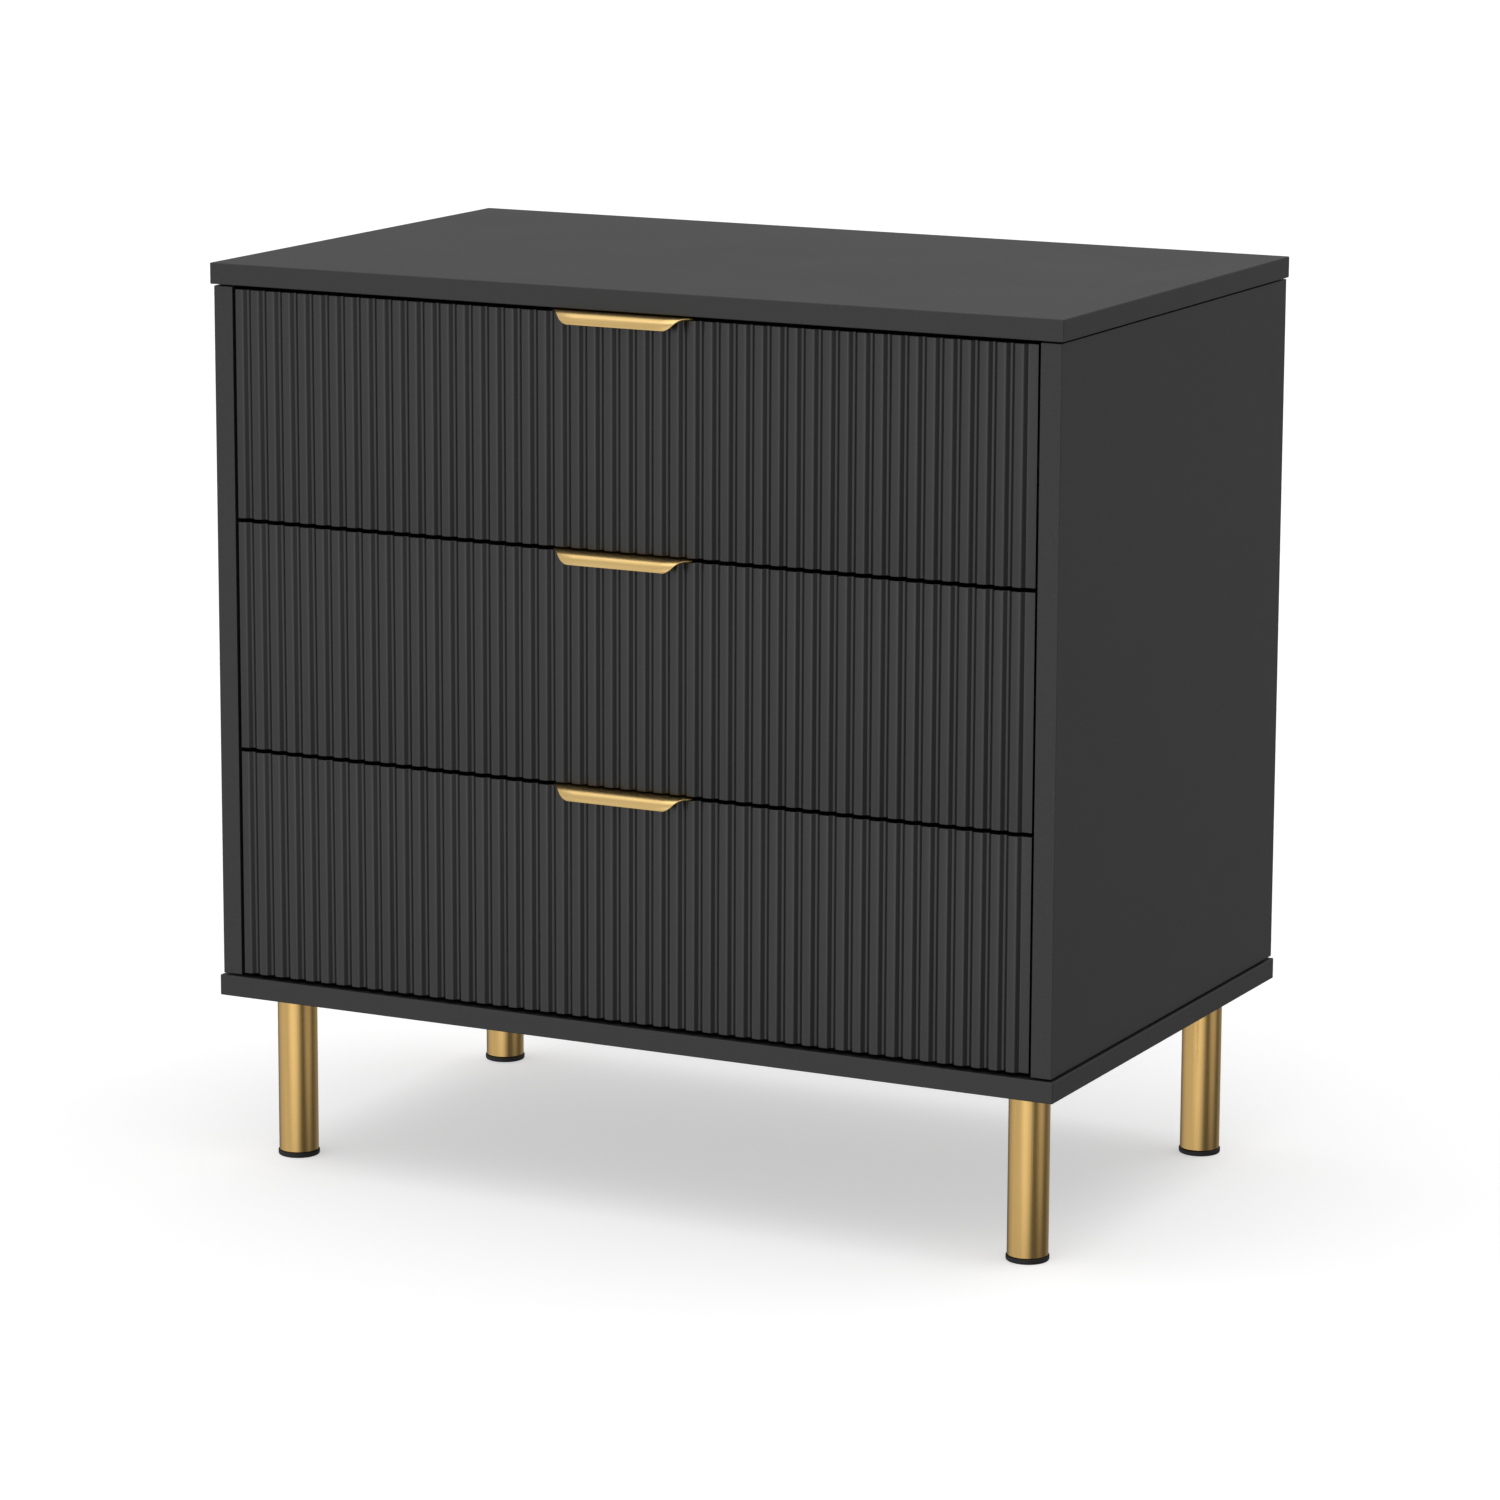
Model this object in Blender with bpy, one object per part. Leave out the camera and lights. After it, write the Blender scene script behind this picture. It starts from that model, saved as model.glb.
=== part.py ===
"""A three-drawer nightstand: black board carcass, reeded drawer fronts on telescopic rails,
bent brass lip pulls and four round brass legs. Metres, +Z up, front towards -Y, standing on z = 0."""

import math

import bmesh
import bpy

# Overall sizes
WIDTH = 0.650
DEPTH = 0.397
HEIGHT = 0.650
LEG_HEIGHT = 0.124

# Board and fits
BOARD = 0.015
BACK_BOARD = 0.005
FIT = 0.0003
OVERHANG = 0.002
SHADOW_GAP = 0.0009
SHADOW_DEPTH = 0.004
EDGE_ROUND = 0.0006

# Drawers
DRAWERS = ("lower", "middle", "upper")
REVEAL = 0.0026
BOX_BOARD = 0.012
BOX_BOTTOM = 0.005
BOX_HEIGHT_SHARE = 0.68
GROOVE_DEPTH = 0.004
GROOVE_UP = 0.010
BACK_CLEARANCE = 0.022

# Reeding on the drawer fronts
RIBS = 48
RIB_FACE_SHARE = 0.43
RIB_FLANK_SHARE = 0.23
RIB_DEPTH = 0.0025

# Telescopic rails
RAIL_HEIGHT = 0.045
RAIL_SHEET = 0.0012
RAIL_CLEARANCE = 0.013

# Lip pulls and their screws
PULL_WIDTH = 0.107
PULL_TIP_WIDTH = 0.080
PULL_REACH = 0.012
PULL_DROP = 0.0072
PULL_SHEET = 0.0012
PULL_FLANGE = 0.018
SCREW_SPREAD = 0.064
SCREW_RADIUS = 0.0016
SCREW_HEAD_RADIUS = 0.0034
SCREW_HEAD = 0.0018
SCREW_BITE = 0.009

# Legs
LEG_RADIUS = 0.01425
LEG_WALL = 0.0012
LEG_INSET_X = 0.0365
LEG_INSET_Y = 0.0455
FOOT_RADIUS = 0.0150
FOOT_FLANGE = 0.0038
FOOT_PLUG = 0.014
PLATE_RADIUS = 0.025
PLATE_SHEET = 0.0025
STUD_RADIUS = 0.004
STUD_RISE = 0.0115
ROUND_SEGMENTS = 48

# Derived positions
FRONT_Y = -(DEPTH + OVERHANG - PULL_REACH) / 2
BACK_Y = FRONT_Y + DEPTH
FACE_Y = FRONT_Y + OVERHANG
CENTRE_Y = (FRONT_Y + BACK_Y) / 2
SIDE_OUTER = WIDTH / 2 - OVERHANG
SIDE_INNER = SIDE_OUTER - BOARD
FLOOR_Z = LEG_HEIGHT + BOARD
CEILING_Z = HEIGHT - BOARD
FRONT_HEIGHT = (CEILING_Z - FLOOR_Z - REVEAL * (len(DRAWERS) + 1)) / len(DRAWERS)
FRONT_HALF = SIDE_INNER - REVEAL
BOX_HALF = SIDE_INNER - RAIL_CLEARANCE
BOX_HEIGHT = FRONT_HEIGHT * BOX_HEIGHT_SHARE
BOX_LENGTH = DEPTH - OVERHANG - BOARD - BACK_BOARD - BACK_CLEARANCE
BOX_LOW = (FRONT_HEIGHT - BOX_HEIGHT) * 0.25
RAIL_Z = BOX_LOW + BOX_HEIGHT / 2


def clear_scene():
    for item in list(bpy.data.objects):
        bpy.data.objects.remove(item, do_unlink=True)


def material(name, colour, roughness, metallic=0.0):
    made = bpy.data.materials.new(name)
    made.use_nodes = True
    shader = made.node_tree.nodes["Principled BSDF"]
    shader.inputs["Base Color"].default_value = (*colour, 1.0)
    shader.inputs["Roughness"].default_value = roughness
    shader.inputs["Metallic"].default_value = metallic
    made.diffuse_color = (*colour, 1.0)
    return made


def add_object(name, points, faces, look, parent=None, smooth=False):
    mesh = bpy.data.meshes.new(name)
    mesh.from_pydata(points, [], faces)
    mesh.update()
    item = bpy.data.objects.new(name, mesh)
    item.data.materials.append(look)
    bpy.context.scene.collection.objects.link(item)
    item.parent = parent
    if smooth:
        mesh.shade_smooth()
    return item


def add_hub(name, location):
    hub = bpy.data.objects.new(name, None)
    hub.location = location
    bpy.context.scene.collection.objects.link(hub)
    return hub


def lofted(rings):
    """Closed skin through a list of equal-length rings of points, capped at both ends."""
    count = len(rings[0])
    points = [point for ring in rings for point in ring]
    faces = [tuple(reversed(range(count)))]
    for level in range(len(rings) - 1):
        low = level * count
        for i in range(count):
            j = (i + 1) % count
            faces.append((low + i, low + j, low + count + j, low + count + i))
    faces.append(tuple(range(len(points) - count, len(points))))
    return points, faces


def extruded(outline, low, high, axis):
    """Closed outline, anticlockwise in the two axes that follow the given one, pushed from low to high."""
    rings = []
    for level in (low, high):
        ring = []
        for a, b in outline:
            point = [0.0, 0.0, 0.0]
            point[axis] = level
            point[(axis + 1) % 3] = a
            point[(axis + 2) % 3] = b
            ring.append(tuple(point))
        rings.append(ring)
    return lofted(rings)


def block(low, high):
    outline = [(low[0], low[1]), (high[0], low[1]), (high[0], high[1]), (low[0], high[1])]
    return extruded(outline, low[2], high[2], 2)


def lathed(profile, centre):
    """Skin of revolution about a vertical axis. The profile is (radius, z), upwards on the outside,
    closed on itself, and may start and end on the axis."""
    points = []
    rows = []
    for radius, z in profile:
        if radius == 0:
            rows.append([len(points)] * ROUND_SEGMENTS)
            points.append((centre[0], centre[1], z))
            continue
        rows.append(list(range(len(points), len(points) + ROUND_SEGMENTS)))
        for step in range(ROUND_SEGMENTS):
            turn = 2 * math.pi * step / ROUND_SEGMENTS
            points.append((centre[0] + radius * math.cos(turn), centre[1] + radius * math.sin(turn), z))
    faces = []
    spans = list(zip(rows, rows[1:] + rows[:1]))
    for (low, high), (r_low, r_high) in zip(
        spans, zip([p[0] for p in profile], [p[0] for p in profile[1:] + profile[:1]])
    ):
        if r_low == 0 and r_high == 0:
            continue
        for i in range(ROUND_SEGMENTS):
            j = (i + 1) % ROUND_SEGMENTS
            if r_low == 0:
                faces.append((low[i], high[j], high[i]))
            elif r_high == 0:
                faces.append((low[i], low[j], high[i]))
            else:
                faces.append((low[i], low[j], high[j], high[i]))
    return points, faces


def round_edges(item, width=EDGE_ROUND, segments=2):
    bevel = item.modifiers.new("edges", "BEVEL")
    bevel.width = width
    bevel.segments = segments
    bevel.limit_method = "ANGLE"
    bevel.angle_limit = math.radians(40)


def drill(item, name, centre, radius, low, high, axis, parent=None):
    """Cuts a round hole along an axis. The cutter stays in the scene as a hidden helper."""
    outline = []
    for step in range(ROUND_SEGMENTS // 2):
        turn = 4 * math.pi * step / ROUND_SEGMENTS
        outline.append((centre[0] + radius * math.cos(turn), centre[1] + radius * math.sin(turn)))
    points, faces = extruded(outline, low, high, axis)
    cutter = add_object(name, points, faces, STEEL, parent)
    cutter.hide_render = True
    cutter.display_type = "WIRE"
    cut = item.modifiers.new(name, "BOOLEAN")
    cut.operation = "DIFFERENCE"
    cut.solver = "EXACT"
    cut.object = cutter


def panel(name, low, high, look, parent=None):
    points, faces = block(low, high)
    item = add_object(name, points, faces, look, parent)
    round_edges(item)
    return item


clear_scene()
BLACK_BOARD = material("black_board", (0.055, 0.055, 0.055), 0.45)
BLACK_REEDED = material("black_reeded_board", (0.045, 0.045, 0.045), 0.5)
BOX_WOOD = material("drawer_box_board", (0.10, 0.10, 0.10), 0.6)
BACKING = material("backing_board", (0.07, 0.07, 0.07), 0.7)
BRASS = material("brushed_brass", (0.62, 0.42, 0.16), 0.3, 1.0)
LEG_BRASS = material("leg_brass", (0.62, 0.42, 0.16), 0.32, 1.0)
FOOT = material("foot_plastic", (0.02, 0.02, 0.02), 0.6)
STEEL = material("zinc_steel", (0.6, 0.6, 0.62), 0.35, 1.0)


# Carcass
def side_panel(name, side):
    """Board between the top and bottom panels, stepped at both ends so that a shadow line shows."""
    outer = side * SIDE_OUTER
    inner = side * SIDE_INNER
    stepped = side * (SIDE_OUTER - SHADOW_DEPTH)
    back = BACK_Y
    rings = []
    levels = (
        (FLOOR_Z + FIT, True),
        (FLOOR_Z + SHADOW_GAP, True),
        (FLOOR_Z + SHADOW_GAP, False),
        (CEILING_Z - SHADOW_GAP, False),
        (CEILING_Z - SHADOW_GAP, True),
        (CEILING_Z - FIT, True),
    )
    for z, narrow in levels:
        x_out = stepped if narrow else outer
        y_front = FACE_Y + SHADOW_DEPTH if narrow else FACE_Y
        y_back = back - SHADOW_DEPTH if narrow else back
        ring = [(inner, y_front, z), (x_out, y_front, z), (x_out, y_back, z), (inner, y_back, z)]
        rings.append(ring if side > 0 else ring[::-1])
    points, faces = lofted(rings)
    return add_object(name, points, faces, BLACK_BOARD)


top = panel("top_panel", (-WIDTH / 2, FRONT_Y, CEILING_Z), (WIDTH / 2, BACK_Y, HEIGHT), BLACK_BOARD)
bottom = panel("bottom_panel", (-WIDTH / 2, FRONT_Y, LEG_HEIGHT), (WIDTH / 2, BACK_Y, FLOOR_Z), BLACK_BOARD)
side_panel("left_side_panel", -1)
side_panel("right_side_panel", 1)
BACK_FACE = BACK_Y - SHADOW_DEPTH
panel(
    "back_panel",
    (-SIDE_INNER + FIT, BACK_FACE - BACK_BOARD, FLOOR_Z + FIT),
    (SIDE_INNER - FIT, BACK_FACE, CEILING_Z - FIT),
    BACKING,
)


# Legs: tube with a welded top disc and stud, a mounting plate above and a plastic foot below
def leg(tag, x, y):
    plate_top = LEG_HEIGHT - FIT
    plate_low = plate_top - PLATE_SHEET
    tube_top = plate_low - FIT
    tube_low = FOOT_FLANGE + FIT
    bore = LEG_RADIUS - LEG_WALL
    stud_top = LEG_HEIGHT + STUD_RISE - 0.0015
    points, faces = lathed(
        [
            (bore, tube_low),
            (LEG_RADIUS, tube_low),
            (LEG_RADIUS, tube_top),
            (STUD_RADIUS, tube_top),
            (STUD_RADIUS, stud_top),
            (0, stud_top),
            (0, tube_top - 0.003),
            (bore, tube_top - 0.003),
        ],
        (x, y),
    )
    add_object(f"leg_{tag}", points, faces, LEG_BRASS)
    plug = bore - FIT
    points, faces = lathed(
        [
            (0, 0),
            (FOOT_RADIUS - 0.0015, 0),
            (FOOT_RADIUS - 0.0005, 0.0004),
            (FOOT_RADIUS, 0.0014),
            (FOOT_RADIUS, FOOT_FLANGE - 0.0005),
            (FOOT_RADIUS - 0.0005, FOOT_FLANGE),
            (plug, FOOT_FLANGE),
            (plug, FOOT_PLUG - 0.001),
            (plug - 0.001, FOOT_PLUG),
            (0, FOOT_PLUG),
        ],
        (x, y),
    )
    add_object(f"foot_cap_{tag}", points, faces, FOOT)
    hole = STUD_RADIUS + FIT
    points, faces = lathed(
        [(hole, plate_low), (PLATE_RADIUS, plate_low), (PLATE_RADIUS, plate_top), (hole, plate_top)],
        (x, y),
    )
    add_object(f"leg_plate_{tag}", points, faces, STEEL)
    drill(bottom, f"stud_hole_{tag}", (x, y), hole, LEG_HEIGHT - 0.01, LEG_HEIGHT + STUD_RISE, 2)


LEG_X = WIDTH / 2 - LEG_INSET_X
LEG_Y = DEPTH / 2 - LEG_INSET_Y
for row, sign_y in (("front", -1), ("back", 1)):
    for column, sign_x in (("left", -1), ("right", 1)):
        leg(f"{row}_{column}", sign_x * LEG_X, CENTRE_Y + sign_y * LEG_Y)


# Drawers. Each is built about a hub at the middle of its front's lower edge, on its slide axis.
def reeded_outline():
    """Plan of a drawer front: flat back, and ribs with sloped flanks across the face."""
    pitch = 2 * FRONT_HALF / (RIBS + 0.2)
    face = pitch * RIB_FACE_SHARE
    flank = pitch * RIB_FLANK_SHARE
    floor = pitch - face - 2 * flank
    soft = 0.35
    outline = [(FRONT_HALF, BOARD), (-FRONT_HALF, BOARD)]
    for rib in range(RIBS):
        left = -FRONT_HALF + rib * pitch
        right = left + face
        outline.append((left, 0.0))
        outline.append((right - flank * soft * 0.5, 0.0))
        outline.append((right + flank * soft * 0.5, RIB_DEPTH * 0.2))
        outline.append((right + flank, RIB_DEPTH))
        outline.append((right + flank + floor, RIB_DEPTH))
        if rib < RIBS - 1:
            outline.append((right + flank * 2 + floor - flank * soft * 0.5, RIB_DEPTH * 0.2))
    last = outline[-1]
    outline[-1] = (FRONT_HALF, last[1])
    return outline


def pull_path():
    """Centre line of the pull's sheet in (y, z), from the rear flange over the front's top edge to the
    lip, with the half width at each point. y is measured from the rib faces, z from the top edge."""
    half = PULL_SHEET / 2
    over = FIT + half
    rear = BOARD + FIT + half
    bend = 0.0016
    reach = PULL_REACH - half
    drop = PULL_DROP + over
    radius = min(0.0078, drop, reach)
    path = [(rear, over - PULL_FLANGE), (rear, over - bend)]
    for step in range(1, 5):
        turn = math.pi / 2 * step / 4
        path.append((rear - bend + bend * math.cos(turn), over - bend + bend * math.sin(turn)))
    path.append((0.0, over))
    path.append((-(reach - radius), over))
    for step in range(1, 10):
        turn = math.pi / 2 * step / 9
        path.append((-(reach - radius) - radius * math.sin(turn), over - radius + radius * math.cos(turn)))
    if drop > radius + 1e-6:
        path.append((-reach, over - drop))
    run = 0.0
    runs = []
    for i, (y, z) in enumerate(path):
        if i and y < 0:
            run += math.dist(path[i - 1], path[i])
        runs.append(run)
    flare = (PULL_WIDTH - PULL_TIP_WIDTH) / 2
    return [(y, z, PULL_WIDTH / 2 - flare * at / run) for (y, z), at in zip(path, runs)]


def pull_rings(top_z):
    """Four-cornered rings along the sheet, half its thickness to each side of the centre line."""
    stations = pull_path()
    rings = []
    for i, (y, z, half_width) in enumerate(stations):
        before = stations[max(0, i - 1)]
        after = stations[min(len(stations) - 1, i + 1)]
        along_y = after[0] - before[0]
        along_z = after[1] - before[1]
        length = math.hypot(along_y, along_z)
        out_y = along_z / length * PULL_SHEET / 2
        out_z = -along_y / length * PULL_SHEET / 2
        outer = (y + out_y, z + out_z + top_z)
        inner = (y - out_y, z - out_z + top_z)
        rings.append(
            [
                (-half_width, *inner),
                (-half_width, *outer),
                (half_width, *outer),
                (half_width, *inner),
            ]
        )
    return rings


def channel(web_x, toe_x, low, high):
    """C outline in (z, x): a web standing at web_x and two flanges that end at toe_x."""
    sheet = math.copysign(RAIL_SHEET, toe_x - web_x)
    outline = [
        (low, web_x),
        (high, web_x),
        (high, toe_x),
        (high - RAIL_SHEET, toe_x),
        (high - RAIL_SHEET, web_x + sheet),
        (low + RAIL_SHEET, web_x + sheet),
        (low + RAIL_SHEET, toe_x),
        (low, toe_x),
    ]
    return outline if toe_x > web_x else outline[::-1]


def add_rails(tag, side, side_name, z, drawer_hub, middle_hub, hub):
    """Three nested C channels: on the cabinet side, between, and on the drawer side."""
    wall = side * (SIDE_INNER - FIT)
    drawer = side * (BOX_HALF + FIT)
    front = FACE_Y + BOARD + 0.004
    half = RAIL_HEIGHT / 2
    step = RAIL_SHEET + 0.0012
    span = RAIL_CLEARANCE - 2 * FIT
    members = (
        ("cabinet_rail", wall, wall - side * (span - 0.0022), half, hub),
        ("middle_rail", wall - side * step, wall - side * (span - 0.0034), half - step, middle_hub),
        ("drawer_rail", drawer, drawer + side * (span - 2 * step - 0.0012), half - 2 * step, drawer_hub),
    )
    for name, web, toe, reach, parent in members:
        outline = channel(web, toe, RAIL_Z - reach, RAIL_Z + reach)
        points, faces = extruded(outline, front - FACE_Y, front - FACE_Y + BOX_LENGTH - 0.004, 1)
        add_object(f"{tag}_{name}_{side_name}", points, faces, STEEL, parent)


def screw(name, x, z, parent):
    """Pan-head screw along Y, its head behind the flange and its shank forwards into the front."""
    head_low = BOARD + 2 * FIT + PULL_SHEET
    profile = [
        (0, head_low - PULL_SHEET - FIT - SCREW_BITE),
        (SCREW_RADIUS * 0.5, head_low - PULL_SHEET - FIT - SCREW_BITE),
        (SCREW_RADIUS, head_low - PULL_SHEET - FIT - SCREW_BITE + 0.002),
        (SCREW_RADIUS, head_low),
        (SCREW_HEAD_RADIUS, head_low),
        (SCREW_HEAD_RADIUS, head_low + SCREW_HEAD * 0.55),
        (SCREW_HEAD_RADIUS * 0.6, head_low + SCREW_HEAD),
        (0, head_low + SCREW_HEAD),
    ]
    points, faces = lathed(profile, (0, 0))
    turned = [(x + a, c, z - b) for a, b, c in points]
    add_object(name, turned, faces, STEEL, parent)


def drawer(tag, low_z):
    origin = (0.0, FACE_Y, low_z)
    fixed = add_hub(f"{tag}_rail_hub", origin)
    sliding = add_hub(f"{tag}_drawer_hub", origin)
    halfway = add_hub(f"{tag}_middle_hub", origin)
    points, faces = extruded(reeded_outline(), 0.0, FRONT_HEIGHT, 2)
    front = add_object(f"{tag}_drawer_front", points, faces, BLACK_REEDED, sliding)

    box_front = BOARD + FIT
    box_back = box_front + BOX_LENGTH
    rear_front = box_back - BOX_BOARD
    box_top = BOX_LOW + BOX_HEIGHT
    groove_low = BOX_LOW + GROOVE_UP
    groove_high = groove_low + BOX_BOTTOM + 2 * FIT
    for side, side_name in ((-1, "left"), (1, "right")):
        outer = side * BOX_HALF
        inner = side * (BOX_HALF - BOX_BOARD)
        groove = side * (BOX_HALF - BOX_BOARD + GROOVE_DEPTH)
        outline = [
            (BOX_LOW, outer),
            (BOX_LOW, inner),
            (groove_low, inner),
            (groove_low, groove),
            (groove_high, groove),
            (groove_high, inner),
            (box_top, inner),
            (box_top, outer),
        ]
        outline = outline if side > 0 else outline[::-1]
        points, faces = extruded(outline, box_front, box_back, 1)
        add_object(f"{tag}_drawer_{side_name}_side", points, faces, BOX_WOOD, sliding)
        add_rails(tag, side, side_name, low_z, sliding, halfway, fixed)
    within = BOX_HALF - BOX_BOARD - FIT
    panel(
        f"{tag}_drawer_rear",
        (-within, rear_front, groove_high),
        (within, box_back, box_top),
        BOX_WOOD,
        sliding,
    )
    in_groove = BOX_HALF - BOX_BOARD + GROOVE_DEPTH - FIT
    points, faces = block(
        (-in_groove, box_front, groove_low + FIT), (in_groove, box_back, groove_low + FIT + BOX_BOTTOM)
    )
    add_object(f"{tag}_drawer_bottom", points, faces, BACKING, sliding)

    points, faces = lofted(pull_rings(FRONT_HEIGHT))
    pull = add_object(f"{tag}_pull", points, faces, BRASS, sliding)
    screw_z = FRONT_HEIGHT - PULL_FLANGE / 2
    hole = SCREW_RADIUS + FIT
    for sign, side_name in ((-1, "left"), (1, "right")):
        x = sign * SCREW_SPREAD / 2
        screw(f"{tag}_pull_screw_{side_name}", x, screw_z, sliding)
        # A hole along Y is outlined in (z, x).
        flange_name = f"{tag}_flange_hole_{side_name}"
        drill(pull, flange_name, (screw_z, x), hole, BOARD - 0.001, BOARD + 0.004, 1, sliding)
        pilot_name = f"{tag}_pilot_hole_{side_name}"
        drill(front, pilot_name, (screw_z, x), hole, BOARD - SCREW_BITE - 0.001, BOARD + 0.004, 1, sliding)


for level, tag in enumerate(DRAWERS):
    drawer(tag, FLOOR_Z + REVEAL + level * (FRONT_HEIGHT + REVEAL))

# Round pieces are drawn smooth, with their flat ends kept crisp.
for item in bpy.data.objects:
    if item.type == "MESH" and item.name.startswith(("leg_", "foot_cap_")):
        item.data.set_sharp_from_angle(angle=math.radians(35))
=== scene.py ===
"""Looks of the three-drawer nightstand: eased black boards, reeded fronts, brushed brass pulls and
legs, telescopic rails, drawer boxes and screws, with studio light, floor and camera. Metres."""

import math

import bmesh
import bpy
import numpy as np
from mathutils import Matrix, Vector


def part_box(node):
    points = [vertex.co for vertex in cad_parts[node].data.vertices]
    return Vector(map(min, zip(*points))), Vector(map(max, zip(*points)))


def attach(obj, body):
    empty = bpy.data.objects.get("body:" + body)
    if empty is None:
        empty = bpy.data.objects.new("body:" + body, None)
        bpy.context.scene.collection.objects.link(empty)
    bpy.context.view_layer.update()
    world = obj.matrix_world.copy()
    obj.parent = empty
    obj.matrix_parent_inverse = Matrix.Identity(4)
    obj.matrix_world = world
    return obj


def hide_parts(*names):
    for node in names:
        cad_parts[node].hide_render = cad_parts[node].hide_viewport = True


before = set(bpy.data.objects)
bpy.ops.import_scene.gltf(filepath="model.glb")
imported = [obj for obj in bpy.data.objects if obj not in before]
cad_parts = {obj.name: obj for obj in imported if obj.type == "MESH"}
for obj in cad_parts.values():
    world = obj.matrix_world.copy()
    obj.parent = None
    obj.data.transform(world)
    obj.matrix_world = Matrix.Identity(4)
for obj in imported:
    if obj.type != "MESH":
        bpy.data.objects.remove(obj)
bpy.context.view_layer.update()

TAGS = ("lower", "middle", "upper")
SIDES = (("left", -1), ("right", 1))
CORNERS = ("front_left", "front_right", "back_left", "back_right")
CABINET = "cabinet"
FIT = 0.0003  # gap between pieces that are glued or pressed together


# ---------------------------------------------------------------- shapes
def put_mesh(name, points, faces, crease=35.0):
    """A mesh piece from an (n, 3) array and a list of faces. If the enclosed volume comes out negative
    the faces are turned, so that they point outwards. Edges sharper than the crease stay crisp."""
    mesh = bpy.data.meshes.new(name)
    mesh.from_pydata(np.asarray(points).tolist(), [], faces)
    shell = bmesh.new()
    shell.from_mesh(mesh)
    if shell.calc_volume(signed=True) < 0:
        bmesh.ops.reverse_faces(shell, faces=shell.faces[:])
    shell.to_mesh(mesh)
    shell.free()
    mesh.shade_smooth()
    mesh.set_sharp_from_angle(angle=math.radians(crease))
    piece = bpy.data.objects.new(name, mesh)
    bpy.context.scene.collection.objects.link(piece)
    return piece


def skin(grid, wrap_rows=False, caps=True):
    """Points and faces of a (rows, columns, 3) grid whose columns run round a closed loop. Cell (i, j)
    joins i, j to its next row and column, and the first and last loops are capped when rows don't wrap."""
    rows, columns = grid.shape[:2]
    index = np.arange(rows * columns).reshape(rows, columns)
    low = index if wrap_rows else index[:-1]
    high = np.roll(index, -1, axis=0) if wrap_rows else index[1:]
    faces = np.stack([low, np.roll(low, -1, 1), np.roll(high, -1, 1), high], axis=-1).reshape(-1, 4)
    faces = faces.tolist()
    if caps and not wrap_rows:
        faces += [index[0, ::-1].tolist(), index[-1].tolist()]
    return grid.reshape(-1, 3), faces


def soften(outline, reach, steps=4, closed=True):
    """Rounds the corners of an (n, 2) outline. Each corner c becomes the curve
    (1-t)^2 a + 2t(1-t) c + t^2 b, where a and b lie a reach back and forward along its sides. The reach
    is cut to 0.45 of the shorter side. An open outline keeps its two ends."""
    points = np.asarray(outline, float)
    before = np.roll(points, 1, 0)
    after = np.roll(points, -1, 0)
    length_in = np.linalg.norm(points - before, axis=1)
    length_out = np.linalg.norm(after - points, axis=1)
    reach = np.minimum(np.broadcast_to(reach, len(points)), 0.45 * np.minimum(length_in, length_out))
    start = points + (before - points) * (reach / np.maximum(length_in, 1e-9))[:, None]
    end = points + (after - points) * (reach / np.maximum(length_out, 1e-9))[:, None]
    t = np.linspace(0, 1, steps)[None, :, None]
    curve = (1 - t) ** 2 * start[:, None] + 2 * t * (1 - t) * points[:, None] + t**2 * end[:, None]
    if closed:
        return curve.reshape(-1, 2)
    return np.vstack([points[:1], curve[1:-1].reshape(-1, 2), points[-1:]])


def swept(outline, low, high, axis):
    """Grid of a closed (n, 2) outline pushed from low to high along an axis. The outline is given in the
    two axes that follow it."""
    outline = np.asarray(outline, float)
    grid = np.empty((2, len(outline), 3))
    grid[:, :, axis] = np.array([low, high])[:, None]
    grid[:, :, (axis + 1) % 3] = outline[:, 0]
    grid[:, :, (axis + 2) % 3] = outline[:, 1]
    return grid


def turned(profile, centre, segments=96):
    """Grid of a (k, 2) profile of radius and height carried round a vertical axis at the centre:
    x = cx + r cos a, y = cy + r sin a, z = h."""
    profile = np.asarray(profile, float)
    angle = np.linspace(0, 2 * math.pi, segments, endpoint=False)
    grid = np.empty((len(profile), segments, 3))
    grid[:, :, 0] = centre[0] + profile[:, :1] * np.cos(angle)
    grid[:, :, 1] = centre[1] + profile[:, :1] * np.sin(angle)
    grid[:, :, 2] = profile[:, 1:]
    return grid


def ease(piece, width, segments=3):
    """A Bevel on every edge sharper than 30 degrees, which takes the sharpness off a board's arris."""
    bevel = piece.modifiers.new("eased_edges", "BEVEL")
    bevel.width = width
    bevel.segments = segments
    bevel.limit_method = "ANGLE"
    bevel.angle_limit = math.radians(30)
    bevel.harden_normals = True
    return piece


def finish_piece(piece, look, body, replaced=()):
    """Gives a piece its look and its body, and hides the CAD nodes that it stands in for."""
    piece.data.materials.append(look)
    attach(piece, body)
    if replaced:
        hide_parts(*replaced)
    return piece


# ---------------------------------------------------------------- shader groups
def new_group(name, inputs, outputs):
    """An empty shader group. Inputs and outputs are (name, socket kind, default)."""
    group = bpy.data.node_groups.new(name, "ShaderNodeTree")
    for label, kind, default in inputs:
        socket = group.interface.new_socket(label, in_out="INPUT", socket_type=kind)
        if default is not None:
            socket.default_value = default
    for label, kind, _ in outputs:
        group.interface.new_socket(label, in_out="OUTPUT", socket_type=kind)
    return group, group.nodes.new("NodeGroupInput"), group.nodes.new("NodeGroupOutput")


def wire(tree, source, target):
    tree.links.new(source, target)


def node(tree, kind, **settings):
    made = tree.nodes.new(kind)
    for key, value in settings.items():
        setattr(made, key, value)
    return made


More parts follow.
